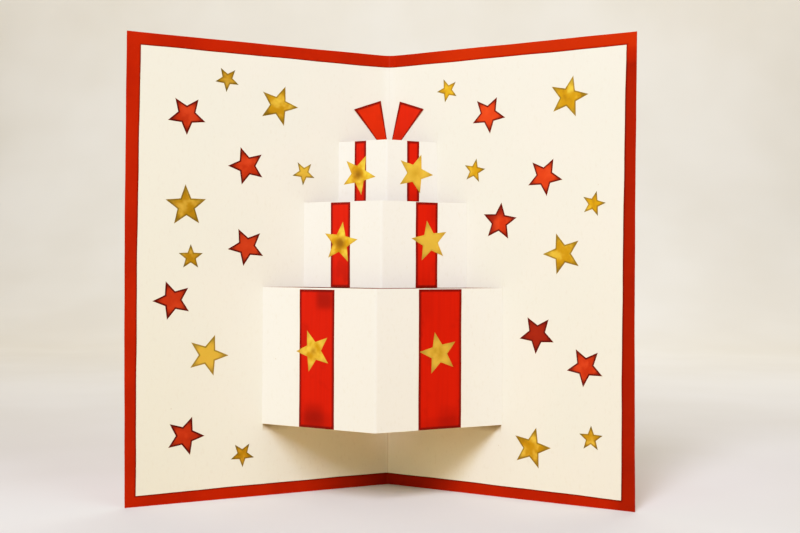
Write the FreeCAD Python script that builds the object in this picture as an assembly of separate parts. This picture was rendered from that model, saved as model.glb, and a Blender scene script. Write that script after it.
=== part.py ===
import FreeCAD, Part
import math
import os

# A pop-up greeting card standing open on its lower edges. A red card, folded once down the middle,
# carries a cream sheet, and three box tiers are cut and folded forward out of that one sheet.
# Ribbons, a bow and star stickers are glued on, each face to face with what carries it.
# X runs to the viewer's right, Y away from the viewer and Z up. The origin is the foot of the spine,
# at the middle of the red card's thickness. All sizes are in millimetres and angles in degrees.

# Red card
page_width = 128.0
page_lean = 29.0  # how far each page swings forward from one flat plane
card_thickness = 0.35

# Cream sheet
sheet_thickness = 0.3
fold_radius = 0.25  # inner radius of every fold in the cream sheet

# Red margin left round the hand-trimmed cream sheet, measured at its corners and at the spine
side_margin_left_top = 6.2
side_margin_left_foot = 4.8
side_margin_right_top = 4.8
side_margin_right_foot = 6.3
top_margin_left = 5.7
top_margin_spine = 6.0
top_margin_right = 5.6
foot_margin_left = 4.9
foot_margin_spine = 5.7
foot_margin_right = 4.4

trim_overcut = 1.0  # the trimming knife passes this far beyond the sheet

# Heights of the sheet's bands between the slits, from the foot of the spine up
foot_height = 27.9  # uncut sheet below the lower tier
lower_height = 63.4
middle_height = 39.8
top_height = 29.5
head_height = 37.7  # uncut sheet above the top tier

# The lower tier reaches as far as the shut card allows. The other tiers' side folds are measured along
# the page from the spine.
shut_clearance = 0.4  # the lower ridge stays this far inside the pages' free edges when the card is shut
lower_fold_offset = 2.0  # the lower left fold stands this much further from the spine than the right one
middle_fold_left = 44.5
middle_fold_right = 43.7
top_fold_left = 26.8
top_fold_right = 27.3

# Ribbons, measured along a tier's wall from its side fold
ribbon_thickness = 0.12
ribbon_end_gap = 0.2  # wall left bare above and below a ribbon
lower_ribbon_left_from_fold = 21.8
lower_ribbon_left_width = 19.2
lower_ribbon_right_from_fold = 22.2
lower_ribbon_right_width = 21.7
middle_ribbon_left_from_fold = 16.0
middle_ribbon_left_width = 10.8
middle_ribbon_right_from_fold = 16.0
middle_ribbon_right_width = 11.3
top_ribbon_left_from_fold = 9.6
top_ribbon_left_width = 6.5
top_ribbon_right_from_fold = 10.0
top_ribbon_right_width = 6.4

# Bow ends, flat on the pages above the top tier, measured from the spine and from the top slit
bow_foot_gap = 0.4  # page left bare between the top slit and the bow
bow_left_outline = [(0.8, 0), (5.5, 0), (19.2, 16.1), (5.0, 21.4)]
bow_right_outline = [(1.2, 0), (6.0, 0), (20.1, 16.3), (6.5, 21.0)]

# Star stickers
star_thickness = 0.12
red_star_tip_radius = 9.1
gold_star_tip_radius = 9.8
star_notch_radius = 4.2
small_star_tip_radius = 5.9
small_star_notch_radius = 2.5

# Scatter of the stars on the pages. Each row gives the page (-1 left, 1 right), the band of the sheet,
# how far the star lies across that band (0 at its fold, 1 at the sheet's free edge), how far up the
# band, and how far it is turned clockwise.
red_stars = [
    (-1, "head", 0.829, 0.222, 36),
    (-1, "top", 0.483, 0.547, 52),
    (-1, "middle", 0.364, 0.469, 46),
    (-1, "lower", 0.735, 0.909, 52),
    (-1, "foot", 0.824, 0.875, 21),
    (1, "head", 0.448, 0.311, 30),
    (1, "top", 0.595, 0.383, 29),
    (1, "middle", 0.222, 0.773, 6),
    (1, "lower", 0.300, 0.671, 40),
    (1, "lower", 0.701, 0.452, 42),
]
gold_stars = [
    (-1, "head", 0.472, 0.411, 20),
    (-1, "middle", 0.730, 0.921, 70),
    (-1, "lower", 0.452, 0.513, 20),
    (1, "head", 0.778, 0.457, 14),
    (1, "middle", 0.627, 0.400, 53),
    (1, "foot", 0.641, 0.659, 14),
]
small_gold_stars = [
    (-1, "head", 0.676, 0.687, 40),
    (-1, "top", 0.189, 0.474, 40),
    (-1, "middle", 0.700, 0.343, 0),
    (-1, "foot", 0.605, 0.508, 35),
    (1, "head", 0.269, 0.652, 50),
    (1, "top", 0.215, 0.515, 11),
    (1, "middle", 0.815, 0.958, 15),
    (1, "foot", 0.880, 0.890, 1),
]

# Hand-placed stars on the ribbons: how far each centre lies from its ribbon's middle, towards the ridge
lower_star_left_shift = -1.8
lower_star_right_shift = 0.7
middle_star_left_shift = -0.1
middle_star_right_shift = -1.7
top_star_left_shift = -1.0
top_star_right_shift = -1.1

# Sizes that follow
vector = FreeCAD.Vector
lean = math.radians(page_lean)
sheet_back = card_thickness / 2
sheet_front = sheet_back + sheet_thickness
ribbon_front = sheet_front + ribbon_thickness
lower_fold_left = (page_width - shut_clearance + lower_fold_offset) / 2
lower_fold_right = page_width - shut_clearance - lower_fold_left
slit_1 = foot_margin_spine + foot_height
slit_2 = slit_1 + lower_height
slit_3 = slit_2 + middle_height
slit_4 = slit_3 + top_height
card_height = slit_4 + head_height + top_margin_spine

# Each band: lower and upper edge, and the left and right fold, which is the spine where no tier stands
bands = {
    "foot": (foot_margin_spine, slit_1, 0, 0),
    "lower": (slit_1, slit_2, lower_fold_left, lower_fold_right),
    "middle": (slit_2, slit_3, middle_fold_left, middle_fold_right),
    "top": (slit_3, slit_4, top_fold_left, top_fold_right),
    "head": (slit_4, card_height - top_margin_spine, 0, 0),
}
ribbons = {
    "lower_left": (lower_ribbon_left_from_fold, lower_ribbon_left_width),
    "lower_right": (lower_ribbon_right_from_fold, lower_ribbon_right_width),
    "middle_left": (middle_ribbon_left_from_fold, middle_ribbon_left_width),
    "middle_right": (middle_ribbon_right_from_fold, middle_ribbon_right_width),
    "top_left": (top_ribbon_left_from_fold, top_ribbon_left_width),
    "top_right": (top_ribbon_right_from_fold, top_ribbon_right_width),
}

# Each ribbon's star: how far up the tier, the shift and the clockwise turn
ribbon_stars = {
    "lower_left": (0.55, lower_star_left_shift, 51),
    "lower_right": (0.54, lower_star_right_shift, 59),
    "middle_left": (0.52, middle_star_left_shift, 9),
    "middle_right": (0.54, middle_star_right_shift, 62),
    "top_left": (0.46, top_star_left_shift, 26),
    "top_right": (0.48, top_star_right_shift, 20),
}


# Direction along a page, from the viewer's left to right. A tier's wall runs like the opposite page.
def along_page(side):
    return vector(math.cos(lean), -side * math.sin(lean), 0)


# Direction out of a page, towards the viewer
def out_of_page(side):
    return vector(-side * math.sin(lean), -math.cos(lean), 0)


# Corners of the folded sheet in plan, from the left free edge to the right one
def plan_corners(left_fold, right_fold):
    left_end = along_page(-1) * -page_width
    right_end = along_page(1) * page_width
    if left_fold == 0 and right_fold == 0:
        return [left_end, vector(0, 0, 0), right_end]
    left_corner = along_page(-1) * -left_fold
    right_corner = along_page(1) * right_fold
    # Each wall is as long as the opposite page's strip, so the tier folds flat with the card
    ridge = left_corner + along_page(1) * right_fold
    return [left_end, left_corner, ridge, right_corner, right_end]


# One face of a folded sheet in plan, at a depth in front of the corners: straight runs joined by
# tangent arcs. Valley folds open towards the viewer, and a ridge points at the viewer.
def face_edges(corners, depth, valley_radius, ridge_radius):
    runs = []
    for start, end in zip(corners, corners[1:]):
        along = (end - start).normalize()
        out = vector(along.y, -along.x, 0)
        runs.append((start + out * depth, end + out * depth, along))
    edges = []
    here = runs[0][0]
    for (start, end, along), (next_start, next_end, next_along) in zip(runs, runs[1:]):
        crossing = along.cross(next_along).z
        reach = (next_start - start).cross(next_along).z / crossing
        corner = start + along * reach
        radius = valley_radius if crossing < 0 else ridge_radius
        half_turn = along.getAngle(next_along) / 2
        set_back = radius * math.tan(half_turn)
        inward = (next_along - along).normalize()
        bend_start = corner - along * set_back
        bend_end = corner + next_along * set_back
        bend_middle = corner + inward * (radius / math.cos(half_turn) - radius)
        edges.append(Part.LineSegment(here, bend_start).toShape())
        edges.append(Part.Arc(bend_start, bend_middle, bend_end).toShape())
        here = bend_end
    edges.append(Part.LineSegment(here, runs[-1][1]).toShape())
    return edges, runs[0][0], runs[-1][1]


# A strip of folded sheet between two depths and two heights
def folded_strip(corners, back, front, inner_radius, low, high):
    outer_radius = inner_radius + front - back
    back_edges, back_left, back_right = face_edges(corners, back, outer_radius, inner_radius)
    front_edges, front_left, front_right = face_edges(corners, front, inner_radius, outer_radius)
    right_end = Part.LineSegment(back_right, front_right).toShape()
    left_end = Part.LineSegment(front_left, back_left).toShape()
    outline = Part.Wire(back_edges + [right_end] + front_edges[::-1] + [left_end])
    strip = Part.Face(outline).extrude(vector(0, 0, high - low))
    strip.translate(vector(0, 0, low))
    return strip


# A flat piece on a page or a wall. Its outline is given from the anchor, across and up.
def flat_piece(outline, anchor, side, depth, thickness):
    lift = out_of_page(side) * depth
    points = [anchor + along_page(side) * across + vector(0, 0, up) + lift for across, up in outline]
    face = Part.Face(Part.makePolygon(points + points[:1]))
    return face.extrude(out_of_page(side) * thickness)


def star_outline(across, up, tip_radius, notch_radius, turn):
    outline = []
    for corner in range(10):
        angle = math.radians(turn + 36 * corner)
        radius = notch_radius if corner % 2 else tip_radius
        outline.append((across + radius * math.sin(angle), up + radius * math.cos(angle)))
    return outline


def make_outer_card():
    inner_radius = fold_radius + sheet_thickness  # the cream sheet's fold nests in the red card's
    return folded_strip(plan_corners(0, 0), -card_thickness / 2, sheet_back, inner_radius, 0, card_height)


# Free edge of the cream sheet at a height, from the spine
def sheet_edge(side, height):
    margins = {
        -1: (side_margin_left_foot, side_margin_left_top),
        1: (side_margin_right_foot, side_margin_right_top),
    }
    foot, top = margins[side]
    return page_width - foot - (top - foot) * height / card_height


# What the hand cut takes off a page's foot or head, as an outline across the page and in from its end
def end_offcut(spine_margin, side_margin):
    over = trim_overcut
    past_spine = spine_margin - (side_margin - spine_margin) * over / page_width
    return [(-over, past_spine), (page_width, side_margin), (page_width, -over), (-over, -over)]


# Straight hand cuts that leave the red margin along a page's free edge, foot and head
def margin_cuts(side, foot_side_margin, top_side_margin):
    far = page_width + trim_overcut
    foot_edge = sheet_edge(side, 0)
    top_edge = sheet_edge(side, card_height)
    foot_cut = end_offcut(foot_margin_spine, foot_side_margin)
    top_offcut = end_offcut(top_margin_spine, top_side_margin)
    top_cut = [(across, card_height - inset) for across, inset in top_offcut]
    free_edge_cut = [(foot_edge, 0), (top_edge, card_height), (far, card_height), (far, 0)]
    depth = sheet_back - trim_overcut
    thickness = sheet_thickness + 2 * trim_overcut
    spine_foot = vector(0, 0, 0)
    cuts = []
    for outline in (foot_cut, top_cut, free_edge_cut):
        placed = [(side * across, up) for across, up in outline]
        cuts.append(flat_piece(placed, spine_foot, side, depth, thickness))
    return cuts


# The one cream sheet: five bands between the slits, each with its own folds
def make_pop_up_sheet():
    strips = []
    for name, (low, high, left_fold, right_fold) in bands.items():
        if name == "foot":
            low = 0
        if name == "head":
            high = card_height
        corners = plan_corners(left_fold, right_fold)
        strips.append(folded_strip(corners, sheet_back, sheet_front, fold_radius, low, high))
    sheet = strips[0].fuse(strips[1:]).removeSplitter()
    left_cuts = margin_cuts(-1, foot_margin_left, top_margin_left)
    right_cuts = margin_cuts(1, foot_margin_right, top_margin_right)
    return sheet.cut(left_cuts + right_cuts)


# Anchor of a tier's wall at its side fold, the side whose page the wall runs like, and the sign of
# the way from the fold to the ridge
def wall_frame(tier, side):
    low, high, left_fold, right_fold = bands[tier]
    fold = left_fold if side == "left" else right_fold
    page = -1 if side == "left" else 1
    anchor = along_page(page) * (page * fold) + vector(0, 0, low)
    return anchor, -page, -page


def make_ribbon(tier, side):
    low, high = bands[tier][:2]
    anchor, page, inward = wall_frame(tier, side)
    from_fold, width = ribbons[tier + "_" + side]
    near = inward * from_fold
    far = inward * (from_fold + width)
    foot = ribbon_end_gap
    head = high - low - ribbon_end_gap
    outline = [(near, foot), (far, foot), (far, head), (near, head)]
    return flat_piece(outline, anchor, page, sheet_front, ribbon_thickness)


def make_ribbon_star(tier, side):
    low, high = bands[tier][:2]
    anchor, page, inward = wall_frame(tier, side)
    from_fold, width = ribbons[tier + "_" + side]
    share_up, shift, turn = ribbon_stars[tier + "_" + side]
    across = inward * (from_fold + width / 2 + shift)
    outline = star_outline(across, share_up * (high - low), gold_star_tip_radius, star_notch_radius, turn)
    return flat_piece(outline, anchor, page, ribbon_front, star_thickness)


def make_bow_end(side, outline):
    foot = slit_4 + bow_foot_gap
    placed = [(side * across, foot + up) for across, up in outline]
    return flat_piece(placed, vector(0, 0, 0), side, sheet_front, ribbon_thickness)


def make_page_star(row, tip_radius, notch_radius):
    side, band, share_across, share_up, turn = row
    low, high, left_fold, right_fold = bands[band]
    up = low + share_up * (high - low)
    fold = left_fold if side < 0 else right_fold
    across = fold + share_across * (sheet_edge(side, up) - fold)
    outline = star_outline(side * across, up, tip_radius, notch_radius, turn)
    return flat_piece(outline, vector(0, 0, 0), side, sheet_front, star_thickness)


pieces = {
    "outer_card": make_outer_card(),
    "pop_up_sheet": make_pop_up_sheet(),
    "bow_left": make_bow_end(-1, bow_left_outline),
    "bow_right": make_bow_end(1, bow_right_outline),
}
for tier in ("lower", "middle", "top"):
    for side in ("left", "right"):
        pieces["ribbon_" + tier + "_" + side] = make_ribbon(tier, side)
        pieces["ribbon_star_" + tier + "_" + side] = make_ribbon_star(tier, side)
for number, row in enumerate(red_stars, 1):
    pieces["red_star_%02d" % number] = make_page_star(row, red_star_tip_radius, star_notch_radius)
for number, row in enumerate(gold_stars, 1):
    pieces["gold_star_%02d" % number] = make_page_star(row, gold_star_tip_radius, star_notch_radius)
for number, row in enumerate(small_gold_stars, 1):
    star = make_page_star(row, small_star_tip_radius, small_star_notch_radius)
    pieces["small_gold_star_%02d" % number] = star

os.makedirs("parts", exist_ok=True)
for node, shape in pieces.items():
    shape.exportStep("parts/" + node + ".step")
print(len(pieces), "pieces, card", 2 * page_width, "x", round(card_height, 2), "mm when flat")
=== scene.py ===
# Pop up card: folded card stock, glazed paper ribbons and foil stars, dressed over the CAD frame.
import math

import bpy
from mathutils import Matrix, Vector


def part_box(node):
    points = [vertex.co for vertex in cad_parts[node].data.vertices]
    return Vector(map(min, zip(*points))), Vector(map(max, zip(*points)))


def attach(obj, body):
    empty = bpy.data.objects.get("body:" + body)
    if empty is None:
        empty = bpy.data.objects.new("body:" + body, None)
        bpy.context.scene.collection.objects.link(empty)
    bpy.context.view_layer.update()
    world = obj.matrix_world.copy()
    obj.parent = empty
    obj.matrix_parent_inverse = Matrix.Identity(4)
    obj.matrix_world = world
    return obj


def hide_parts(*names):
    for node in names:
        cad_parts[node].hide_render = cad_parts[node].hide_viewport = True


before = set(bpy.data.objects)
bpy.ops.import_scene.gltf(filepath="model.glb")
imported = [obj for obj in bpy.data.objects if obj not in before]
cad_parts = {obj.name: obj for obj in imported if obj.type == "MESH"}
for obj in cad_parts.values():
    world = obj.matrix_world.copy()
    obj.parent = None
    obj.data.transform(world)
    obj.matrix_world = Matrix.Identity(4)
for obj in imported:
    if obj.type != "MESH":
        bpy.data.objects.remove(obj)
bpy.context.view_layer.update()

print("frame loaded:", len(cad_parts), "nodes")

mm = 0.001      # the card's own sizes below are in millimetres, the stage and the lamps in metres


def linearFromHex(hexText):
    # sRGB hex to the linear RGBA that the shader sockets take
    rgba = []
    for start in (0, 2, 4):
        share = int(hexText[start:start + 2], 16) / 255
        rgba.append(share / 12.92 if share <= 0.04045 else ((share + 0.055) / 1.055) ** 2.4)
    return (*rgba, 1.0)


def mix(a, b, share):
    return a + (b - a) * share


def ramp(value, start, span):
    # 0 up to start, then rising to 1 over span
    return min(1.0, max(0.0, value - start) / span)


# the folded paper: every sheet, ribbon and sticker is laid out flat, then folded by the same rule

fold = {
    "lean": 29.0,               # degrees, how far each page stands forward of flat
    "pageWidth": 128.0,
    "cardHeight": 210.0,
    "tierFolds": {              # left and right fold, as distances from the spine
        "lower": (64.8, 62.8),
        "middle": (44.5, 43.7),
        "top": (26.8, 27.3),
    },
    "tierHeights": {            # lower and upper slit of each tier
        "lower": (33.6, 97.0),
        "middle": (97.0, 136.8),
        "top": (136.8, 166.3),
    },
    "tierSoftness": 0.7,        # half width of the rounding at a scored fold
    "spineSoftFoot": 1.3,       # the spine is creased hard at the foot and eases open at the head
    "spineSoftHead": 4.6,
    "cockle": 0.22,             # how far the paper wanders from flat
}

leanCos = math.cos(math.radians(fold["lean"]))
leanSin = math.sin(math.radians(fold["lean"]))


def cornersOf(tier):
    # where a band of the flat sheet is folded, from left to right
    if tier is None:
        return (0.0,)
    left, right = fold["tierFolds"][tier]
    return (-left, right - left, right)


def softnessAt(corners, z):
    if len(corners) > 1:
        return fold["tierSoftness"]
    return mix(fold["spineSoftFoot"], fold["spineSoftHead"], z / fold["cardHeight"])


def legPoint(corners, leg, across, depth):
    # a point on one straight leg of the folded band, depth in front of its middle plane
    facing = (-1) ** leg
    if leg == 0:
        y = across * leanSin
    else:
        y = corners[0] * leanSin
        for i in range(1, leg):
            y += (corners[i] - corners[i - 1]) * leanSin * (-1) ** i
        y += (across - corners[leg - 1]) * leanSin * facing
    return Vector((across * leanCos + depth * facing * leanSin, y - depth * leanCos))


def cockleAt(x, z):
    # slow waves of paper that has been folded and handled
    wave = math.sin(x / 17.0 + 0.6) * math.cos(z / 23.0 - 0.4) + 0.6 * math.sin(x / 31.0 - z / 19.0 + 2.1)
    return fold["cockle"] * wave / 1.6


def foldedPoint(tier, across, z, depth):
    # from the flat sheet to where the folded card stands, in metres
    corners = cornersOf(tier)
    softness = softnessAt(corners, z)
    plan = None
    for i, corner in enumerate(corners):
        if abs(across - corner) < softness:
            before = legPoint(corners, i, corner - softness, depth)
            after = legPoint(corners, i + 1, corner + softness, depth)
            tip = legPoint(corners, i, corner, 0.0) + Vector((0.0, -depth / leanCos))
            share = (across - corner + softness) / (2 * softness)
            plan = before * (1 - share) ** 2 + tip * 2 * share * (1 - share) + after * share ** 2
            break
    if plan is None:
        leg = sum(across > corner for corner in corners)
        plan = legPoint(corners, leg, across, depth)
    return Vector((plan.x, plan.y + cockleAt(plan.x, z), z)) * mm


def wander(position, phase):
    # the small unsteadiness of a cut made by hand, between -1 and 1
    return (0.5 * math.sin(position / 9.3 + phase) + 0.3 * math.sin(position / 4.1 + 2.3 * phase)
            + 0.2 * math.sin(position / 21.0 + 0.7 * phase))


# materials

def setInputs(tree, node, inputs):
    # each input gets a link, or a value of its own, where a text is a hex colour
    for name, value in inputs.items():
        socket = next(s for s in node.inputs if s.name == name and s.enabled)
        if isinstance(value, bpy.types.NodeSocket):
            tree.links.new(value, socket)
        else:
            socket.default_value = linearFromHex(value) if isinstance(value, str) else value


def addNode(tree, kind, settings=None, inputs=None, output=None):
    # one node with its settings, links and values; gives the named output, or the node itself
    made = tree.nodes.new(kind)
    for name, value in (settings or {}).items():
        setattr(made, name, value)
    setInputs(tree, made, inputs or {})
    return next(s for s in made.outputs if s.name == output and s.enabled) if output else made


def newMaterial(name):
    material = bpy.data.materials.new(name)
    material.use_nodes = True
    tree = material.node_tree
    tree.nodes.clear()
    shader = addNode(tree, "ShaderNodeBsdfPrincipled")
    addNode(tree, "ShaderNodeOutputMaterial", inputs={"Surface": shader.outputs["BSDF"]})
    place = addNode(tree, "ShaderNodeTexCoord", output="Object")
    return material, tree, shader, place


def layColour(tree, base, colour, mask, low=0.0, high=1.0, most=1.0):
    # a colour laid over the base: none where the mask is low, and its full share where the mask is high
    share = addNode(tree, "ShaderNodeMapRange", {"interpolation_type": "SMOOTHSTEP"}, {
        "Value": mask, "From Min": low, "From Max": high, "To Min": 0.0, "To Max": most,
    }, "Result")
    return addNode(tree, "ShaderNodeMix", {"data_type": "RGBA"}, {
        "Factor": share, "A": base, "B": colour,
    }, "Result")


creamLook = {
    "colour": "F5EEDA",
    "warmCloud": "F7EDD8",
    "greyCloud": "F0ECD6",
    "fresh": "F9F2E1",          # painted light on the tiers
    "aged": "EFEAD2",           # painted shade on the left page towards its free edge
    "cloudSizeMm": 38.0,
    "cloudRange": (0.35, 0.65),     # noise values where a cloud begins and where it is full
    "cloudEvening": 0.5,        # how far the clouds are mixed back to the plain colour
    "fibre": "E6DCC4",
    "fibreSizeMm": 1.1,         # real fibres are about 0.03 mm wide, drawn coarser to show
    "fibreStretch": 2.2,        # fibres lie mostly along the sheet's height
    "fibreRange": (0.52, 0.8),
    "fibreShare": 0.4,
    "speck": "B79C78",
    "speckSpacingMm": 17.0,
    "speckRadiusMm": 0.32,
    "speckShare": 0.55,
    # painted shade in the creases and painted shadow under the lower tier's edge
    "crease": "A58C62",
    "roughness": 0.82,
    "ior": 1.47,
    "specular": 0.25,
    "grainHeightMm": 0.012,
    "grainStrength": 0.8,
}


def makeUncoatedCreamCard(look):
    # uncoated card, felt-finished on the machine: no gloss, soft clouds, fine fibre and a few stray specks
    material, tree, shader, place = newMaterial("uncoatedCreamCard")
    cloud = addNode(tree, "ShaderNodeTexNoise", None, {
        "Vector": place, "Scale": 1 / (mm * look["cloudSizeMm"]), "Detail": 3.0, "Roughness": 0.55,
    }, "Fac")
    base = layColour(tree, look["greyCloud"], look["warmCloud"], cloud, *look["cloudRange"])
    base = addNode(tree, "ShaderNodeMix", {"data_type": "RGBA"}, {
        "Factor": look["cloudEvening"], "A": base, "B": look["colour"],
    }, "Result")
    # painted light on the tiers, painted shade towards the left page's free edge
    age = addNode(tree, "ShaderNodeAttribute", {"attribute_name": "age"}, output="Fac")
    base = layColour(tree, base, look["aged"], age)
    base = layColour(tree, base, look["fresh"], age, 0.0, -1.0)
    drawn = addNode(tree, "ShaderNodeMapping", None, {
        "Vector": place, "Scale": (1, 1, 1 / look["fibreStretch"]),
    }, "Vector")
    fibre = addNode(tree, "ShaderNodeTexNoise", None, {
        "Vector": drawn, "Scale": 1 / (mm * look["fibreSizeMm"]), "Detail": 4.0, "Roughness": 0.55,
    }, "Fac")
    base = layColour(tree, base, look["fibre"], fibre, *look["fibreRange"], look["fibreShare"])
    cells = addNode(tree, "ShaderNodeTexVoronoi", None, {
        "Vector": place, "Scale": 1 / (mm * look["speckSpacingMm"]),
    }, "Distance")
    speckEdge = look["speckRadiusMm"] / look["speckSpacingMm"]
    base = layColour(tree, base, look["speck"], cells, speckEdge, speckEdge / 2, look["speckShare"])
    # painted shade in the creases and painted shadow under the lower tier's edge
    crease = addNode(tree, "ShaderNodeAttribute", {"attribute_name": "crease"}, output="Fac")
    base = addNode(tree, "ShaderNodeMix", {"data_type": "RGBA"}, {
        "Factor": crease, "A": base, "B": look["crease"],
    }, "Result")
    grain = addNode(tree, "ShaderNodeBump", None, {
        "Height": fibre, "Distance": look["grainHeightMm"] * mm, "Strength": look["grainStrength"],
    }, "Normal")
    setInputs(tree, shader, {
        "Base Color": base, "Normal": grain, "Roughness": look["roughness"],
        "IOR": look["ior"], "Specular IOR Level": look["specular"],
    })
    return material


redCardLook = {
    "colour": "B72101",
    "dark": "AD1D01",
    "cloudSizeMm": 24.0,
    "cloudRange": (0.35, 0.68),
    "fibre": "C23414",
    "fibreSizeMm": 0.9,         # drawn coarser than the real 0.03 mm fibres so that it shows
    "fibreStretch": 2.0,
    "fibreRange": (0.55, 0.85),
    "fibreShare": 0.35,
    "crease": "D05A3C",
    "lit": "D83C08",            # painted light where the margin is brighter, along the right page's head
    "contact": "5E0802",        # painted shade along the glued sheet's cut edge, down the right side, under the box and behind the tiers
    "contactShare": 0.9,
    "roughness": 0.7,
    "ior": 1.47,
    "specular": 0.03,
    "grainHeightMm": 0.012,
    "grainStrength": 0.8,
}


def makeDyedRedCard(look):
    # card dyed in the pulp and calendered: even matt red, faintly cloudy, paler where it is creased
    material, tree, shader, place = newMaterial("dyedRedCard")
    cloud = addNode(tree, "ShaderNodeTexNoise", None, {
        "Vector": place, "Scale": 1 / (mm * look["cloudSizeMm"]), "Detail": 3.0, "Roughness": 0.55,
    }, "Fac")
    base = layColour(tree, look["colour"], look["dark"], cloud, *look["cloudRange"])
    drawn = addNode(tree, "ShaderNodeMapping", None, {
        "Vector": place, "Scale": (1, 1, 1 / look["fibreStretch"]),
    }, "Vector")
    fibre = addNode(tree, "ShaderNodeTexNoise", None, {
        "Vector": drawn, "Scale": 1 / (mm * look["fibreSizeMm"]), "Detail": 4.0, "Roughness": 0.55,
    }, "Fac")
    base = layColour(tree, base, look["fibre"], fibre, *look["fibreRange"], look["fibreShare"])
    crease = addNode(tree, "ShaderNodeAttribute", {"attribute_name": "crease"}, output="Fac")
    base = addNode(tree, "ShaderNodeMix", {"data_type": "RGBA"}, {
        "Factor": crease, "A": base, "B": look["crease"],
    }, "Result")
    # painted shade along the sheet's cut edge, down the right side, under the box and behind the tiers;
    # painted light at the top right
    contact = addNode(tree, "ShaderNodeAttribute", {"attribute_name": "contact"}, output="Fac")
    base = layColour(tree, base, look["lit"], contact, 0.0, -1.0)
    base = layColour(tree, base, look["contact"], contact, 0.0, 1.0, look["contactShare"])
    grain = addNode(tree, "ShaderNodeBump", None, {
        "Height": fibre, "Distance": look["grainHeightMm"] * mm, "Strength": look["grainStrength"],
    }, "Normal")
    setInputs(tree, shader, {
        "Base Color": base, "Normal": grain, "Roughness": look["roughness"],
        "IOR": look["ior"], "Specular IOR Level": look["specular"],
    })
    return material


ribbonLook = {
    "colour": "D71A02",
    "streak": "C41401",
    "streakSizeMm": 1.3,        # brush-coating lines are finer, drawn coarser to show
    "streakStretch": 24.0,      # how much longer than wide
    "streakRange": (0.35, 0.8),
    "streakShare": 0.45,
    # painted light on the bow ends and the middle and top strips
    "bright": "EC3C08",
    # painted dark reflections in patches
    "patch": "8E0C01",
    "patchSizeMm": 11.0,
    "patchShift": (0.0341, 0.0044, 0.0187),     # metres, puts the dark patches where the photo has them
    "patchRange": (0.56, 0.72),
    "patchShare": 0.28,
    "rim": "580502",            # painted shade on the cut edge
    "rimShare": 0.78,
    "roughness": 0.34,
    "roughRange": (0.3, 0.8),
    "smoothest": 0.85,          # as shares of the roughness, between the streaks and on them
    "roughest": 1.3,
    "ior": 1.5,
    "specular": 0.04,
    "coat": 0.02,
    "coatRoughness": 0.22,
    "grainHeightMm": 0.01,
    "grainStrength": 0.7,
}


def makeGlazedRedPaper(look):
    # thin paper with a glazed face: deep red, satin-glossy, faint streaks down its length, painted dark
    # reflections, painted light on the bow ends
    material, tree, shader, place = newMaterial("glazedRedPaper")
    drawn = addNode(tree, "ShaderNodeMapping", None, {
        "Vector": place, "Scale": (1, 1, 1 / look["streakStretch"]),
    }, "Vector")
    streak = addNode(tree, "ShaderNodeTexNoise", None, {
        "Vector": drawn, "Scale": 1 / (mm * look["streakSizeMm"]), "Detail": 2.0, "Roughness": 0.55,
    }, "Fac")
    base = look["colour"]
    base = layColour(tree, base, look["streak"], streak, *look["streakRange"], look["streakShare"])
    moved = addNode(tree, "ShaderNodeMapping", None, {
        "Vector": place, "Location": look["patchShift"],
    }, "Vector")
    patch = addNode(tree, "ShaderNodeTexNoise", None, {
        "Vector": moved, "Scale": 1 / (mm * look["patchSizeMm"]), "Detail": 2.0, "Roughness": 0.55,
    }, "Fac")
    base = layColour(tree, base, look["patch"], patch, *look["patchRange"], look["patchShare"])
    tone = addNode(tree, "ShaderNodeAttribute", {"attribute_name": "shade"}, output="Fac")
    base = layColour(tree, base, look["patch"], tone)
    base = layColour(tree, base, look["bright"], tone, 0.0, -1.0)
    rim = addNode(tree, "ShaderNodeAttribute", {"attribute_name": "rim"}, output="Fac")
    base = layColour(tree, base, look["rim"], rim, 0.0, 1.0, look["rimShare"])
    roughness = addNode(tree, "ShaderNodeMapRange", {"interpolation_type": "SMOOTHSTEP"}, {
        "Value": streak, "From Min": look["roughRange"][0], "From Max": look["roughRange"][1],
        "To Min": look["roughness"] * look["smoothest"], "To Max": look["roughness"] * look["roughest"],
    }, "Result")
    grain = addNode(tree, "ShaderNodeBump", None, {
        "Height": streak, "Distance": look["grainHeightMm"] * mm, "Strength": look["grainStrength"],
    }, "Normal")
    setInputs(tree, shader, {
        "Base Color": base, "Normal": grain, "Roughness": roughness,
        "IOR": look["ior"], "Specular IOR Level": look["specular"],
        "Coat Weight": look["coat"], "Coat Roughness": look["coatRoughness"],
    })
    return material


foilLook = {                    # what the two foils share
    # painted reflections: bright and dark clouds on the foil
    "brightRange": (0.42, 0.72),
    "darkRange": (0.42, 0.2),
    "darkShare": 0.6,
    "grainSizeMm": 0.7,         # the lacquer's ripple is finer, drawn coarser to show
    "grainHeightMm": 0.01,
    "grainStrength": 0.6,
    "metallic": 0.9,
    "roughRange": (0.3, 0.7),
    "smoothest": 0.8,           # as shares of the roughness
    "roughest": 1.25,
}

redFoilLook = {
    **foilLook,
    "name": "redMetallisedFoil",
    "colour": "CE3207",
    "bright": "E8471C",
    "dark": "9A200A",
    "rim": "5A0804",
    "patchSizeMm": 6.5,
    "roughness": 0.42,
}

goldFoilLook = {
    **foilLook,
    "name": "goldMetallisedFoil",
    "colour": "D0930C",
    "bright": "FBC344",
    "dark": "915F0C",
    "rim": "57501C",
    "patchSizeMm": 5.5,
    "roughness": 0.4,
}


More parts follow.
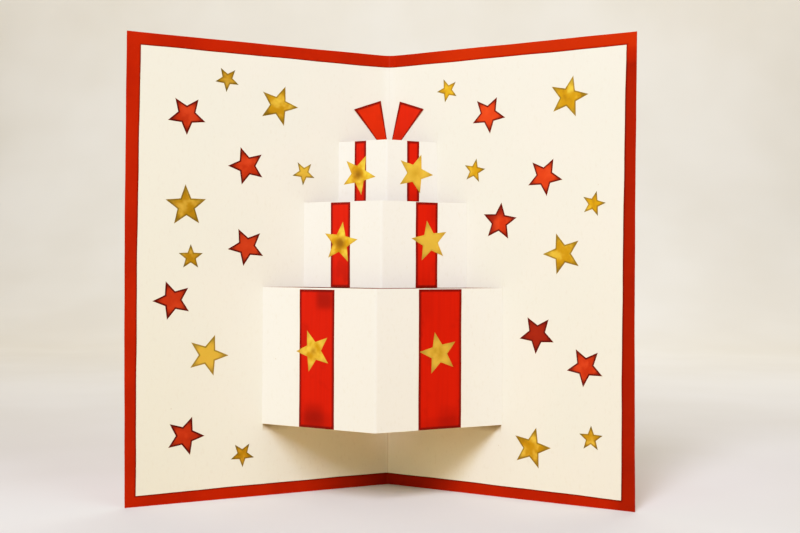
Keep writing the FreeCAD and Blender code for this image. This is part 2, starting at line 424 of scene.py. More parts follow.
def makeMetallisedFoil(look):
    # metallised film under coloured lacquer, die-cut: soft metal sheen, painted reflections in clouds,
    # painted shade on the cut edge and tips
    material, tree, shader, place = newMaterial(look["name"])
    patch = addNode(tree, "ShaderNodeTexNoise", None, {
        "Vector": place, "Scale": 1 / (mm * look["patchSizeMm"]), "Detail": 2.0, "Roughness": 0.55,
    }, "Fac")
    base = layColour(tree, look["colour"], look["bright"], patch, *look["brightRange"])
    base = layColour(tree, base, look["dark"], patch, *look["darkRange"], look["darkShare"])
    tone = addNode(tree, "ShaderNodeAttribute", {"attribute_name": "shade"}, output="Fac")
    base = layColour(tree, base, look["dark"], tone)
    base = layColour(tree, base, look["bright"], tone, 0.0, -1.0)
    rim = addNode(tree, "ShaderNodeAttribute", {"attribute_name": "rim"}, output="Fac")
    base = addNode(tree, "ShaderNodeMix", {"data_type": "RGBA"}, {
        "Factor": rim, "A": base, "B": look["rim"],
    }, "Result")
    grain = addNode(tree, "ShaderNodeTexNoise", None, {
        "Vector": place, "Scale": 1 / (mm * look["grainSizeMm"]), "Detail": 3.0, "Roughness": 0.55,
    }, "Fac")
    roughness = addNode(tree, "ShaderNodeMapRange", {"interpolation_type": "SMOOTHSTEP"}, {
        "Value": grain, "From Min": look["roughRange"][0], "From Max": look["roughRange"][1],
        "To Min": look["roughness"] * look["smoothest"], "To Max": look["roughness"] * look["roughest"],
    }, "Result")
    ripple = addNode(tree, "ShaderNodeBump", None, {
        "Height": grain, "Distance": look["grainHeightMm"] * mm, "Strength": look["grainStrength"],
    }, "Normal")
    setInputs(tree, shader, {
        "Base Color": base, "Normal": ripple, "Roughness": roughness, "Metallic": look["metallic"],
    })
    return material


creamCard = makeUncoatedCreamCard(creamLook)
redCard = makeDyedRedCard(redCardLook)
glazedPaper = makeGlazedRedPaper(ribbonLook)
redFoil = makeMetallisedFoil(redFoilLook)
goldFoil = makeMetallisedFoil(goldFoilLook)
print("materials made")


# pieces

cutEdgeAngle = math.radians(40)     # folds stay soft, cut edges stay crisp


def placePiece(name, mesh, material, node, thickness=0.0):
    # one object on the card's one body, standing for its CAD node
    mesh.materials.append(material)
    piece = bpy.data.objects.new(name, mesh)
    bpy.context.scene.collection.objects.link(piece)
    if thickness:
        solid = piece.modifiers.new("paperThickness", "SOLIDIFY")
        solid.thickness = thickness * mm
        solid.offset = -1.0
        solid.use_even_offset = True
        seen = piece.evaluated_get(bpy.context.evaluated_depsgraph_get())
        piece.data = bpy.data.meshes.new_from_object(seen)
        piece.modifiers.clear()
        bpy.data.meshes.remove(mesh)
        piece.data.name = name
    piece.data.set_sharp_from_angle(angle=cutEdgeAngle)
    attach(piece, "root")
    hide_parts(node)
    return piece


def meshFrom(name, points, faces, values=None):
    # values holds one number a point for each named attribute that a material reads
    mesh = bpy.data.meshes.new(name)
    mesh.from_pydata(points, [], faces)
    for key, numbers in (values or {}).items():
        layer = mesh.attributes.new(key, "FLOAT", "POINT")
        layer.data.foreach_set("value", numbers)
    mesh.shade_smooth()
    mesh.update()
    return mesh


def spread(low, high, step):
    # even positions from low to high, about step apart
    count = max(1, round((high - low) / step))
    return [mix(low, high, i / count) for i in range(count + 1)]


def creaseAt(corners, across, width):
    # 1 on a fold line, fading to 0 over width
    nearest = min(abs(across - corner) for corner in corners)
    return max(0.0, 1 - nearest / width) ** 2


sheet = {
    "thickness": 0.29,
    "front": 0.475,             # depth of the face that shows
    "sideLeft": (4.8, 6.2),     # red margin at foot and head
    "sideRight": (6.3, 4.8),
    "head": (5.7, 6.0, 5.6),    # red margin at left edge, spine and right edge
    "foot": (4.9, 5.7, 4.4),
    "footBow": 0.3,
    "nearFoot": 5.0,            # roughly where the foot and the head are cut
    "nearHead": 204.5,
    "trimWander": 0.12,
    "gridStep": 4.2,
    "leastGap": 1.0,            # grid lines keep this far from the lines at a fold
    "spineReach": 6,            # a line each millimetre, this far to either side of the spine
    "outerColumns": 13,         # from the outermost fold to the trimmed side
    "fewestRows": 6,            # in each band between two slits
    "creaseWidth": 0.5,
    "footCrease": 0.55,         # how much painted shade the creases get: below the tiers, above them, at their folds
    "headCrease": 0.12,
    "tierCrease": 0.1,
    "tierAge": -0.9,            # painted light below 0, painted shade above 0
    # painted shade on the left page, growing towards its free edge
    "edgeAge": 0.8,
    "ageFrom": 30.0,            # left of the spine
    "ageSpan": 92.0,
    "tuck": 1.0,                # painted shadow: a dark line on the page under the lower tier's edge, near its side folds
    "tuckWidth": 4.5,
    "tuckFrom": 0.72,           # as shares of the way from the spine to the fold
    "tuckSpan": 0.2,
    "tuckEnd": 0.995,
}

card = {
    "thickness": 0.34,
    "front": 0.17,              # depth of its inner face
    "leftBow": 0.55,            # its free edges were cut a little bowed, both towards the left
    "rightBow": -0.6,
    "trimWander": 0.07,
    "gridStep": 5.0,
    "spineMarks": [-6, -5, -4, -3, -2.3, -1.7, -1.2, -0.8, -0.4, 0, 0.4, 0.8, 1.2, 1.7, 2.3, 3, 4, 5, 6],
    "innerReach": 112.0,        # how far from the spine and from the ends the even grid goes
    "innerEnd": 14.0,
    "creaseWidth": 0.8,
    "creaseShare": 0.12,
    "contactWidth": 1.0,        # thin painted shadow on the red along the sheet's cut edge
    "holeTone": 0.45,           # painted shade behind the tiers, where little light comes in
    "rightTone": 0.4,           # painted shade down the right side
    "rightFrom": 115.0,
    "footTone": 0.5,            # painted shade under the box
    "footTop": 12.0,
    "footReach": 45.0,
    "headRightTone": -0.38,     # painted light along the right page's head
    "headFrom": 200.0,
    "headReach": 40.0,
}


def bowAt(z):
    return math.sin(math.pi * ramp(z, 0.0, fold["cardHeight"]))


def sheetEdges(sheet):
    # the sheet's trimmed edges: left and right by height, head and foot by distance from the spine
    width, height = fold["pageWidth"], fold["cardHeight"]

    def leftAt(z):
        margin = mix(*sheet["sideLeft"], z / height)
        return -(width - margin + card["leftBow"] * bowAt(z) + sheet["trimWander"] * wander(z, 2.6))

    def rightAt(z):
        margin = mix(*sheet["sideRight"], z / height)
        return width - margin + card["rightBow"] * bowAt(z) + sheet["trimWander"] * wander(z, 4.4)

    def marginAt(three, across):
        side = three[0] if across < 0 else three[2]
        return mix(three[1], side, abs(across) / width)

    def headAt(across):
        return height - marginAt(sheet["head"], across) + sheet["trimWander"] * wander(across, 0.9)

    def footAt(across):
        bow = sheet["footBow"] * math.sin(math.pi * abs(across) / width)
        return marginAt(sheet["foot"], across) + bow + sheet["trimWander"] * wander(across, 3.7)

    return leftAt, rightAt, headAt, footAt


def gridFaces(wide, tall):
    return [(r * wide + c, r * wide + c + 1, (r + 1) * wide + c + 1, (r + 1) * wide + c)
            for r in range(tall - 1) for c in range(wide - 1)]


def paintedMarginTone(across, z):
    # painted shade on the red margin down the right side and under the box, and painted light at the top
    # right
    if z > card["headFrom"]:
        return card["headRightTone"] * ramp(across, 0.0, card["headReach"])
    tone = card["rightTone"] if across > card["rightFrom"] else 0.0
    if z < card["footTop"]:
        tone = max(tone, card["footTone"] * (1 - ramp(abs(across), 0.0, card["footReach"])))
    return tone


def makeOuterCard(card):
    # its grid has lines along the glued sheet's edge, where the red gets a thin painted shadow
    width, height = fold["pageWidth"], fold["cardHeight"]
    leftAt, rightAt, headAt, footAt = sheetEdges(sheet)
    shadeWidth = card["contactWidth"]
    pageSteps = spread(card["spineMarks"][-1], card["innerReach"], card["gridStep"])[1:]
    inner = [-step for step in reversed(pageSteps)] + card["spineMarks"] + pageSteps
    rowsInside = spread(card["innerEnd"], height - card["innerEnd"], card["gridStep"])
    edgeLines = 4       # from the card's cut edge to the sheet's
    wide = len(inner) + 2 * edgeLines
    tall = len(rowsInside) + 2 * edgeLines

    def columnAt(column, z):
        # card edge, middle of the red margin, end of the shade, sheet edge, then the inner columns
        leftCut = -width - card["leftBow"] * bowAt(z) - card["trimWander"] * wander(z, 0.4)
        rightCut = width + card["rightBow"] * bowAt(z) + card["trimWander"] * wander(z, 1.9)
        leftLine, rightLine = leftAt(z), rightAt(z)
        lefts = (leftCut, (leftCut + leftLine - shadeWidth) / 2, leftLine - shadeWidth, leftLine)
        rights = (rightLine, rightLine + shadeWidth, (rightCut + rightLine + shadeWidth) / 2, rightCut)
        if column < edgeLines:
            return lefts[column]
        if column >= wide - edgeLines:
            return rights[column - wide + edgeLines]
        return inner[column - edgeLines]

    def rowAt(row, across):
        head, foot = headAt(across), footAt(across)
        top = height + card["trimWander"] * wander(across, 3.2)
        if row < edgeLines:
            return (0.0, (foot - shadeWidth) / 2, foot - shadeWidth, foot)[row]
        if row >= tall - edgeLines:
            return (head, head + shadeWidth, (head + shadeWidth + top) / 2, top)[row - tall + edgeLines]
        return rowsInside[row - edgeLines]

    points, crease, contact = [], [], []
    for row in range(tall):
        for column in range(wide):
            nominal = rowAt(row, 0.0)
            across = columnAt(column, nominal)
            z = rowAt(row, across)
            points.append(foldedPoint(None, across, z, card["front"]))
            crease.append(card["creaseShare"] * creaseAt((0.0,), across, card["creaseWidth"]))
            inwards = min(column, wide - 1 - column, row, tall - 1 - row)
            if inwards < edgeLines - 1:
                contact.append(paintedMarginTone(across, z))
            elif inwards == edgeLines - 1:
                contact.append(1.0)         # painted shadow on the sheet's cut edge
            else:
                contact.append(card["holeTone"])
    mesh = meshFrom("outerCard", points, gridFaces(wide, tall), {"crease": crease, "contact": contact})
    placed = placePiece("outerCard", mesh, redCard, "outer_card", card["thickness"])
    for mark in placed.data.attributes["contact"].data[len(points):]:
        mark.value = 0.0        # the second half of the points is the card's plain back


# painted shadow under the lower tier's edge, near its side folds
def tuckShadowAt(across):
    near = abs(across) / fold["tierFolds"]["lower"][0 if across < 0 else 1]
    if near >= sheet["tuckEnd"]:
        return 0.0
    return sheet["tuck"] * ramp(near, sheet["tuckFrom"], sheet["tuckSpan"])


def makePopUpSheet(sheet):
    # one flat grid: its columns run through every band, and rows split where a slit is cut
    leftAt, rightAt, headAt, footAt = sheetEdges(sheet)
    soft = fold["tierSoftness"]
    foldMarks = set(range(-sheet["spineReach"], sheet["spineReach"] + 1))
    for tier in fold["tierFolds"]:
        for corner in cornersOf(tier):
            foldMarks.update(corner + soft * k for k in (-1.0, -0.5, 0.0, 0.5, 1.0))
    innerLeft, innerRight = min(foldMarks), max(foldMarks)
    between = spread(innerLeft, innerRight, sheet["gridStep"])
    kept = {t for t in between if min(abs(t - m) for m in foldMarks) > sheet["leastGap"]}
    columns = sorted(foldMarks | kept)
    outer = sheet["outerColumns"]

    def acrossAt(column, z):
        # the outermost columns are drawn towards the trimmed side edges
        if column < 0:
            return mix(innerLeft, leftAt(z), -column / outer)
        if column >= len(columns):
            return mix(innerRight, rightAt(z), (column - len(columns) + 1) / outer)
        return columns[column]

    columnIds = list(range(-outer, len(columns) + outer))
    bands = [(None, None, fold["tierHeights"]["lower"][0])]
    bands += [(tier, low, high) for tier, (low, high) in fold["tierHeights"].items()]
    bands.append((None, fold["tierHeights"]["top"][1], None))
    points, crease, age, faces, rowBelow = [], [], [], [], None
    for index, (tier, low, high) in enumerate(bands):
        corners = cornersOf(tier)
        rowCount = sheet["fewestRows"]
        if tier:
            rowCount = max(rowCount, round((high - low) / sheet["gridStep"]))
        steps = spread(0.0, 1.0, 1 / rowCount)
        if low is None:
            steps.insert(-1, 1 - sheet["tuckWidth"] / high)
        if index:
            # the slit is as wide as the wider of the two tiers that it parts
            neighbours = [cornersOf(t) for t in (bands[index - 1][0], tier) if t]
            slitLeft = min(c[0] for c in neighbours)
            slitRight = max(c[-1] for c in neighbours)
        for row, up in enumerate(steps):
            ids = []
            for place, column in enumerate(columnIds):
                nominal = mix(low or sheet["nearFoot"], high or sheet["nearHead"], up)
                across = acrossAt(column, nominal)
                z = mix(low if low else footAt(across), high if high else headAt(across), up)
                shared = index and row == 0 and not slitLeft < across < slitRight
                if shared:
                    ids.append(rowBelow[place])
                    continue
                ids.append(len(points))
                atSlit = up == 1.0 and high and abs(across) > abs(corners[0 if across < 0 else -1]) - 1e-6
                points.append(foldedPoint(None if atSlit and tier else tier, across, z, sheet["front"]))
                shown = "tierCrease" if tier else "headCrease" if index else "footCrease"
                valleys = (corners[0], corners[-1])
                tuck = tuckShadowAt(across) if low is None and up == 1.0 else 0.0
                crease.append(max(tuck, sheet[shown] * creaseAt(valleys, across, sheet["creaseWidth"])))
                # painted shade, growing towards the left page's free edge
                pageShade = sheet["edgeAge"] * max(0.0, -across - sheet["ageFrom"]) / sheet["ageSpan"]
                onTier = tier and corners[0] < across < corners[-1]
                age.append(sheet["tierAge"] if onTier else pageShade)
            if row:
                faces += [(rowBelow[c], rowBelow[c + 1], ids[c + 1], ids[c]) for c in range(len(ids) - 1)]
            rowBelow = ids
    mesh = meshFrom("popUpSheet", points, faces, {"crease": crease, "age": age})
    placePiece("popUpSheet", mesh, creamCard, "pop_up_sheet", sheet["thickness"])


makeOuterCard(card)
makePopUpSheet(sheet)
print("card and sheet folded")


ribbon = {
    "thickness": 0.115,
    "front": 0.596,             # depth of the face that shows, glued on the sheet
    "ripple": 0.05,             # how far the glued strip swells between dabs of glue
    "rimWidth": 1.6,            # painted shade on the cut edge, full as far as rimFull of it
    "rimFull": 0.4,
    "step": 1.1,
    "strips": {                 # distance from the tier's side fold, width, gap at foot, gap at head
        "lower": ((21.8, 19.2, 0.05, 0.75), (22.2, 21.7, 0.05, 0.35)),
        "middle": ((16.0, 10.8, 0.05, 0.3), (16.0, 11.3, 0.05, 0.2)),
        "top": ((9.6, 6.5, 0.1, 0.05), (10.0, 6.4, 0.05, 0.05)),
    },
    "tone": {"lower": 0.22, "middle": -0.05, "top": -0.05},     # the lower strips painted a shade darker, the middle and top ones painted a little lighter
    "dips": {                   # painted dark reflections: share across, mm above the foot, half width, half height, darkness
        "lowerLeft": (
            (0.72, 58.0, 4.8, 4.4, 0.5), (0.42, 6.0, 5.8, 5.4, 0.34), (0.5, 3.0, 11.0, 4.5, 0.22),
        ),
        "lowerRight": (
            (0.72, 5.0, 5.6, 5.4, 0.22), (0.15, 56.0, 4.0, 7.0, 0.12), (0.5, 2.0, 12.0, 3.5, 0.2),
        ),
        "middleLeft": ((0.2, 3.0, 3.0, 4.0, 0.2),),
        "middleRight": ((0.8, 34.0, 2.6, 4.5, 0.35), (0.5, 2.0, 6.0, 3.0, 0.2)),
        "topLeft": ((0.5, 2.0, 3.0, 3.0, 0.2),),
        "topRight": ((0.5, 3.0, 3.0, 4.0, 0.2),),
    },
    "trimWander": 0.07,
}


def rippleAt(across, z):
    wave = math.sin(z / 3.9 + 0.3 * across) * math.sin(across / 5.0 + z / 11.0)
    return ribbon["ripple"] * (0.5 + 0.5 * wave)


def edgeShares(length, rim, step):
    # positions from 0 to 1, with a strip of width rim at each end split once
    inner = [place / length for place in spread(rim, length - rim, step)]
    full = ribbon["rimFull"] * rim / length
    return [0.0, full] + inner + [1 - full, 1.0]


def rimAt(steps, place):
    # 1 on the two outermost lines at either end
    return 1.0 if place in (0, 1, len(steps) - 2, len(steps) - 1) else 0.0


def makeRibbon(tier, side):
    left, right = fold["tierFolds"][tier]
    low, high = fold["tierHeights"][tier]
    away, width, footGap, headGap = ribbon["strips"][tier][0 if side == "left" else 1]
    start = -left + away if side == "left" else right - away - width
    foot, head = low + footGap, high - headGap
    name = "ribbon" + tier.capitalize() + side.capitalize()
    rows = edgeShares(head - foot, ribbon["rimWidth"], ribbon["step"])
    columns = edgeShares(width, ribbon["rimWidth"], ribbon["step"])
    points, rim, shade = [], [], []
    for row, up in enumerate(rows):
        for column, share in enumerate(columns):
            z = mix(foot, head, up)
            inner = start + ribbon["trimWander"] * wander(z, start)
            outer = start + width + ribbon["trimWander"] * wander(z, start + 2.0)
            across = mix(inner, outer, share)
            points.append(foldedPoint(tier, across, z, ribbon["front"] + rippleAt(across, z)))
            rim.append(max(rimAt(rows, row), rimAt(columns, column)))
            # the strip's painted tone plus its painted dark reflections
            dark = ribbon["tone"][tier]
            for reflectionAcross, reflectionUp, halfWidth, halfHeight, darkness in ribbon["dips"][tier + side.capitalize()]:
                sideways = (share - reflectionAcross) * width / halfWidth
                upwards = (z - low - reflectionUp) / halfHeight
                dark += darkness * math.exp(-sideways ** 4 - upwards ** 4)     # flat in the middle, squarish
            shade.append(min(1.0, dark))
    mesh = meshFrom(name, points, gridFaces(len(columns), len(rows)), {"rim": rim, "shade": shade})
    node = f"ribbon_{tier}_{side}"
    placePiece(name, mesh, glazedPaper, node, ribbon["thickness"])


for tierName in fold["tierFolds"]:
    for sideName in ("left", "right"):
        makeRibbon(tierName, sideName)
print("ribbons laid")


bow = {
    "footGap": 0.4,
    "step": 1.6,
    "curl": 0.35,               # the wide ends lift a little off the page, the inner corner least
    "innerCurl": 0.6,           # as a share of it
    "left": ((0.8, 0), (5.5, 0), (19.2, 15.9), (5.0, 21.0)),     # from the spine, above the top slit
    "right": ((1.2, 0), (6.0, 0), (20.1, 16.1), (6.5, 20.6)),
    # painted light on the bow ends
    "tone": {"left": -0.45, "right": -0.25},
}


def makeBowEnd(side):
    # a flat wedge of ribbon paper, cut by hand, glued at its narrow foot
    innerFoot, outerFoot, outerTop, innerTop = bow[side]
    way = -1 if side == "left" else 1
    foot = fold["tierHeights"]["top"][1] + bow["footGap"]
    rows = edgeShares(innerTop[1], ribbon["rimWidth"], bow["step"])
    columns = edgeShares(outerTop[0] - innerTop[0], ribbon["rimWidth"], bow["step"])
    if way < 0:
        columns = columns[::-1]
    points, rim, shade = [], [], []
    for row, up in enumerate(rows):
        for column, share in enumerate(columns):
            out = mix(mix(innerFoot[0], outerFoot[0], share), mix(innerTop[0], outerTop[0], share), up)
            rise = mix(mix(innerFoot[1], outerFoot[1], share), mix(innerTop[1], outerTop[1], share), up)
            lift = bow["curl"] * up ** 2 * mix(bow["innerCurl"], 1.0, share)
            points.append(foldedPoint(None, way * out, foot + rise, ribbon["front"] + lift))
            rim.append(max(rimAt(rows, row), rimAt(columns, column)))
            shade.append(bow["tone"][side])
    name = "bow" + side.capitalize()
    mesh = meshFrom(name, points, gridFaces(len(columns), len(rows)), {"rim": rim, "shade": shade})
    placePiece(name, mesh, glazedPaper, f"bow_{side}", ribbon["thickness"])


for sideName in ("left", "right"):
    makeBowEnd(sideName)
print("bow ends laid")


star = {
    "foilThickness": 0.09,
    "glueThickness": 0.005,
    "dome": 0.05,               # the pressed foil swells a little towards its middle
    "waist": 0.36,              # how near its middle the edges pass, as a share of its reach
    "rimWidth": 0.85,
    "rimStart": 0.4,            # the rim's painted shade is full from this share of its width on
    "rimThickness": 0.03,       # the die thins the edge
    "edgeSteps": 5,
    "rings": (0.0, 0.2, 0.4, 0.6, 0.8, 1.0),       # as shares of the way out to the rim
    "drapeWidth": 0.9,          # how far out the foil comes down from a ribbon to the sheet
    # painted shade on the cut edge
    "rimTone": {"red": 0.95, "gold": 0.6, "small": 0.5, "ribbon": 0.15},
    "tipTone": {"red": 0.9, "gold": 0.65, "small": 0.95, "ribbon": 0.4},      # painted shade, darkest at the tips
    "tipFrom": 0.52,            # as shares of the reach
    "tipSpan": 0.3,
    "edgeShade": {"red": 0.0, "gold": 0.0, "small": 0.0, "ribbon": -0.7},    # where the edge catches light
    "edgeFrom": 0.4,
    "edgeSpan": 0.3,
    "middleFade": 1.9,          # the middle's own tone is gone at 1 / 1.9 of the reach
    "tones": {                  # painted reflections, above 0 darker, below 0 brighter: overall, towards its left, top, middle
        "red_star_01": (0.25, 0.0, 0.0, 0.0),
        "red_star_03": (-0.55, 0.0, 0.0, 0.0),
        "red_star_04": (-0.4, 0.0, 0.0, 0.0),
        "red_star_05": (-0.25, 0.0, 0.0, 0.0),
        "red_star_06": (-0.5, 0.0, 0.0, 0.0),
        "red_star_07": (-0.4, 0.0, 0.0, 0.0),
        "red_star_08": (0.7, 0.6, 0.5, -0.7),
        "red_star_09": (0.85, 0.0, 0.0, 0.0),
        "red_star_10": (0.25, 0.0, 0.0, 0.0),
        "gold_star_01": (0.15, 0.0, 0.0, 0.0),
        "gold_star_02": (0.25, 0.0, 0.0, 0.0),
        "gold_star_03": (-0.9, 0.0, 0.0, 0.0),
        "gold_star_04": (0.3, 0.0, 0.0, 0.0),
        "gold_star_05": (0.3, 0.0, 0.0, 0.0),
        "gold_star_06": (0.1, 0.0, 0.0, 0.0),
        "small_gold_star_01": (0.45, 0.0, 0.0, 0.0),
        "small_gold_star_02": (-0.7, 0.0, 0.0, 0.0),
        "small_gold_star_03": (0.2, 0.0, 0.0, 0.0),
        "small_gold_star_05": (-0.2, 0.0, 0.0, 0.0),
        "small_gold_star_06": (0.2, 0.0, 0.0, 0.0),
        "small_gold_star_08": (0.2, 0.0, 0.0, 0.0),
        "ribbon_star_top_left": (-0.25, 0.0, 0.0, 1.3),
        "ribbon_star_top_right": (-0.9, 0.0, 0.0, 0.5),
        "ribbon_star_middle_left": (-0.15, 0.0, -0.3, 1.3),
        "ribbon_star_middle_right": (-1.0, 0.0, 0.0, 0.0),
        "ribbon_star_lower_left": (-0.5, 0.0, 0.0, 1.1),
        "ribbon_star_lower_right": (-1.0, 0.5, 0.2, 0.9),
    },
}


def flatOutline(node, tier, leg):
    # the CAD star unrolled: its outline as points of the flat sheet, ordered round its middle
    anchor = legPoint(cornersOf(tier), leg, 0.0, 0.0)
    along = Vector((leanCos, leanSin * (-1) ** leg))
    seen = {}
    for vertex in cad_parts[node].data.vertices:
        x, y, z = (value / mm for value in vertex.co)
        across = (Vector((x, y)) - anchor).dot(along)
        seen[(round(across, 2), round(z, 2))] = (across, z)
    flat = [Vector(p) for p in seen.values()]
    middle = sum(flat, Vector((0.0, 0.0))) / len(flat)
    flat.sort(key=lambda p: math.atan2(p.y - middle.y, p.x - middle.x))
    return flat, middle


def underlay(tier, across):
    # depth of what a star is stuck on: the sheet, or a ribbon with its edges eased
    if tier is None:
        return sheet["front"]
    left, right = fold["tierFolds"][tier]
    side = 0 if across < right - left else 1
    away, width = ribbon["strips"][tier][side][:2]
    start = -left + away if side == 0 else right - away - width
    past = max(start - across, across - start - width, 0.0)
    share = max(0.0, 1 - past / star["drapeWidth"])
    top = ribbon["front"] + ribbon["ripple"]
    return mix(sheet["front"], top, share * share * (3 - 2 * share))


def makeStar(node, material):
    tier = None
    leg = 0 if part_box(node)[1].x < 0 else 1
    if node.startswith("ribbon"):
        tier = node.split("_")[2]
        leg = 1 if node.endswith("left") else 2
    outline, middle = flatOutline(node, tier, leg)
    steps = star["edgeSteps"]
    border = [outline[i].lerp(outline[(i + 1) % len(outline)], k / steps)
              for i in range(len(outline)) for k in range(steps)]
    reach = max((p - middle).length for p in border)
    rimShare = 1 - star["rimWidth"] / (reach * star["waist"])
    levels = [(rimShare * share, star["foilThickness"] + star["dome"] * (1 - share), 0.0)
              for share in star["rings"]]
    kind = node.split("_")[0]
    rimTone, tipTone, edgeShade = star["rimTone"][kind], star["tipTone"][kind], star["edgeShade"][kind]
    levels.append((mix(rimShare, 1.0, star["rimStart"]), star["foilThickness"], rimTone))
    levels.append((1.0, star["rimThickness"], rimTone))
    overall, towardsLeft, towardsTop, towardsMiddle = star["tones"].get(node, (0.0, 0.0, 0.0, 0.0))
    points, rim, shade = [], [], []

    def addPoint(flat, height, rimValue):
        points.append(foldedPoint(tier, flat.x, flat.y, underlay(tier, flat.x) + height))
        offset = (flat - middle) / reach
        rim.append(max(rimValue, tipTone * ramp(offset.length, star["tipFrom"], star["tipSpan"])))
        tone = overall - offset.x * towardsLeft + offset.y * towardsTop
        tone += edgeShade * ramp(offset.length, star["edgeFrom"], star["edgeSpan"])
        shade.append(tone + towardsMiddle * max(0.0, 1 - star["middleFade"] * offset.length))

    addPoint(middle, levels[0][1], 0.0)
    for share, height, rimValue in levels[1:]:
        for p in border:
            addPoint(middle.lerp(p, share), height, rimValue)
    for p in border:
        addPoint(p, star["glueThickness"], rimTone)
    addPoint(middle, star["glueThickness"], 0.0)
    around = len(border)
    pairs = [(i, (i + 1) % around) for i in range(around)]
    faces = [(0, 1 + i, 1 + j) for i, j in pairs]
    for ring in range(len(levels) - 1):
        first = 1 + ring * around
        faces += [(first + i, first + around + i, first + around + j, first + j) for i, j in pairs]
    last = 1 + (len(levels) - 1) * around
    faces += [(last + i, len(points) - 1, last + j) for i, j in pairs]
    name = "".join(part.capitalize() for part in node.split("_"))
    name = name[0].lower() + name[1:]
    mesh = meshFrom(name, points, faces, {"rim": rim, "shade": shade})
    placePiece(name, mesh, material, node)


for nodeName in sorted(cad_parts):
    if "star" in nodeName:
        isRed = nodeName.startswith("red")
        makeStar(nodeName, redFoil if isRed else goldFoil)
print("stars stuck on")


# stage, light and camera

stage = {
    "colour": "EBE7DE",
    "cloud": "E2DDD2",
    "cloudSizeMm": 300.0,
    "cloudRange": (0.3, 0.7),
    "bounce": "E2C88C",         # a warm tint in the light that it throws back on the card
    "roughness": 0.9,
    "specular": 0.1,
    "wall": 1.5,                # how far behind the card the sweep turns up, metres
    "front": -1.3,
    "halfWidth": 2.6,
    "height": 2.4,
    "bendRadius": 0.6,
    "bendSteps": 12,
}


def makeSweep(stage):
    # one seamless roll of matt paper, floor and backdrop
    profile = [(stage["front"], 0.0), (stage["wall"] - stage["bendRadius"], 0.0)]
    for i in range(1, stage["bendSteps"] + 1):
        angle = math.radians(90 * i / stage["bendSteps"])
        profile.append((stage["wall"] - stage["bendRadius"] * (1 - math.sin(angle)),
                        stage["bendRadius"] * (1 - math.cos(angle))))
    profile.append((stage["wall"], stage["height"]))
    points = [(x, y, z) for y, z in profile for x in (-stage["halfWidth"], stage["halfWidth"])]
    faces = [(2 * i, 2 * i + 1, 2 * i + 3, 2 * i + 2) for i in range(len(profile) - 1)]
    mesh = meshFrom("sweep", points, faces)
    material, tree, shader, place = newMaterial("seamlessPaper")
    cloud = addNode(tree, "ShaderNodeTexNoise", None, {
        "Vector": place, "Scale": 1 / (mm * stage["cloudSizeMm"]), "Detail": 3.0, "Roughness": 0.55,
    }, "Fac")
    base = layColour(tree, stage["colour"], stage["cloud"], cloud, *stage["cloudRange"])
    bounced = addNode(tree, "ShaderNodeLightPath", output="Is Diffuse Ray")
    base = addNode(tree, "ShaderNodeMix", {"data_type": "RGBA"}, {
        "Factor": bounced, "A": base, "B": stage["bounce"],
    }, "Result")
    setInputs(tree, shader, {
        "Base Color": base, "Roughness": stage["roughness"], "Specular IOR Level": stage["specular"],
    })
    mesh.materials.append(material)
    sweep = bpy.data.objects.new("sweep", mesh)
    bpy.context.scene.collection.objects.link(sweep)


makeSweep(stage)

cardMiddle = (0.0, -0.03, 0.09)     # metres, where the lamps look

lights = {
    "keySoftbox": {
        "towards": (-0.20, -1.0, 0.93), "distance": 1.15, "size": (0.26, 0.62),
        "long": (0.565, 0.475, 0.673), "power": 13.3, "colour": "EBE9FF",
    },
    "leftPanel": {
        "towards": (-1.0, -0.72, 0.25), "distance": 1.3, "size": (0.8, 0.9),
        "long": (0, 0, 1), "power": 4.8, "colour": "F2FCE0",
    },
    "rightPanel": {
        "towards": (1.0, -0.8, 0.2), "distance": 1.3, "size": (0.8, 0.9),
        "long": (0, 0, 1), "power": 1.4, "colour": "F6FCE0",
    },
    "rightHighPanel": {
        "towards": (1.0, -0.9, 0.9), "distance": 1.3, "size": (0.8, 0.8),
        "long": (0, 0, 1), "power": 4.5, "colour": "F2FAFF",
    },
    "backPanel": {
        "towards": (0.45, 1.0, 0.9), "distance": 1.2, "size": (0.7, 0.7),
        "long": (0, 0, 1), "power": 2.5, "colour": "FFFFFF",
    },
    "sweepWash": {              # lights the sweep behind, so that it stays pale
        "towards": (0.0, 0.75, 1.0), "distance": 1.6, "size": (1.8, 0.4),
        "long": (0, 1, 0), "power": 16.0, "colour": "FFFFFF", "lookAt": (0.0, 1.5, 0.3),
    },
}


def makeLight(name, look):
    # a soft panel, placed from the middle of the card, that looks there or where lookAt says
    data = bpy.data.lights.new(name, "AREA")
    data.shape = "RECTANGLE"
    data.size, data.size_y = look["size"]
    data.energy = look["power"]
    data.color = linearFromHex(look["colour"])[:3]
    stand = Vector(cardMiddle) + Vector(look["towards"]).normalized() * look["distance"]
    back = (stand - Vector(look.get("lookAt", cardMiddle))).normalized()
    wide = Vector(look["long"]).cross(back).normalized()
    tall = back.cross(wide)
    turned = Matrix((wide, tall, back)).transposed().to_4x4()
    lamp = bpy.data.objects.new(name, data)
    bpy.context.scene.collection.objects.link(lamp)
    lamp.matrix_world = Matrix.Translation(stand) @ turned
    lamp.visible_camera = False


for lightName, lightLook in lights.items():
    makeLight(lightName, lightLook)

room = {"colour": "FFF2E0", "strength": 0.02, "seen": "E2DED6", "seenStrength": 0.9}


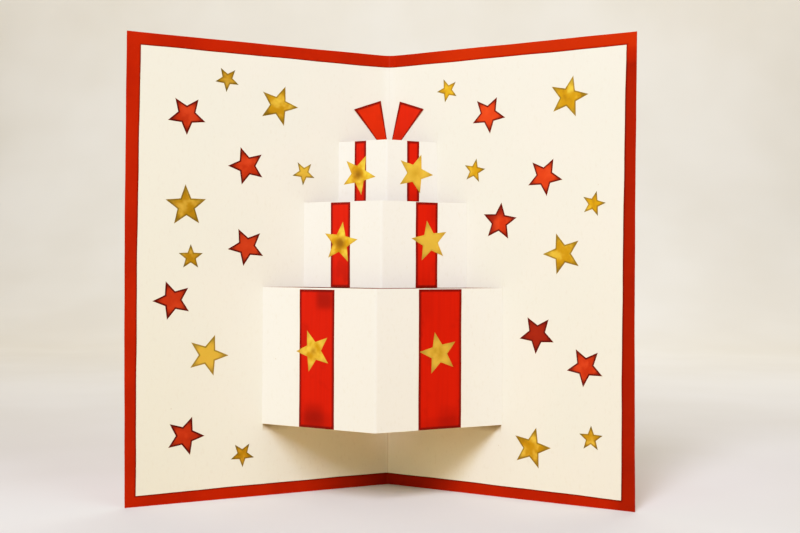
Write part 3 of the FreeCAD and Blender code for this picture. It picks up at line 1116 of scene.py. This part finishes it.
def makeRoom(room):
    # warm light that fills the shadows, while the camera sees a plain pale room
    world = bpy.data.worlds.new("room")
    world.use_nodes = True
    tree = world.node_tree
    tree.nodes.clear()
    warm = addNode(tree, "ShaderNodeBackground", None, {
        "Color": room["colour"], "Strength": room["strength"],
    }, "Background")
    pale = addNode(tree, "ShaderNodeBackground", None, {
        "Color": room["seen"], "Strength": room["seenStrength"],
    }, "Background")
    seen = addNode(tree, "ShaderNodeLightPath", output="Is Camera Ray")
    both = addNode(tree, "ShaderNodeMixShader", None, {"Fac": seen})
    tree.links.new(warm, both.inputs[1])
    tree.links.new(pale, both.inputs[2])
    addNode(tree, "ShaderNodeOutputWorld", None, {"Surface": both.outputs[0]})
    bpy.context.scene.world = world


makeRoom(room)

camera = {
    "place": (0.03494, -0.5768, 0.1069),
    "turn": 0.964,              # degrees to the left of straight ahead
    "roll": 0.262,
    "lens": 52.9,
    "sensor": 36.0,
    "shiftX": -0.05,
    "clip": (0.01, 20.0),
}


def makeCamera(camera):
    data = bpy.data.cameras.new("camera")
    data.lens = camera["lens"]
    data.sensor_width = camera["sensor"]
    data.shift_x = camera["shiftX"]
    data.clip_start, data.clip_end = camera["clip"]
    made = bpy.data.objects.new("camera", data)
    bpy.context.scene.collection.objects.link(made)
    made.matrix_world = (Matrix.Translation(camera["place"])
                         @ Matrix.Rotation(math.radians(camera["turn"]), 4, "Z")
                         @ Matrix.Rotation(math.radians(90), 4, "X")
                         @ Matrix.Rotation(math.radians(camera["roll"]), 4, "Z"))
    bpy.context.scene.camera = made


makeCamera(camera)

shoulder = {"from": 0.5, "white": 1.3, "steps": 9}


def setTone(shoulder):
    # highlights roll off as in the photo: straight up to "from", then bending until "white" comes out as 1
    view = bpy.context.scene.view_settings
    view.view_transform = "Standard"
    view.use_curve_mapping = True
    curves = view.curve_mapping
    curves.white_level = (shoulder["white"],) * 3
    bend = (shoulder["white"] - 1) / (shoulder["white"] - shoulder["from"]) ** 2
    combined = curves.curves[3]         # the curve for all three channels together
    for i in range(shoulder["steps"] + 1):
        value = mix(shoulder["from"], shoulder["white"], i / shoulder["steps"])
        shown = value - bend * (value - shoulder["from"]) ** 2
        if value < shoulder["white"]:
            combined.points.new(value / shoulder["white"], shown)
    for point in combined.points:
        point.handle_type = "VECTOR"
    curves.update()


setTone(shoulder)
print("stage, light and camera set")
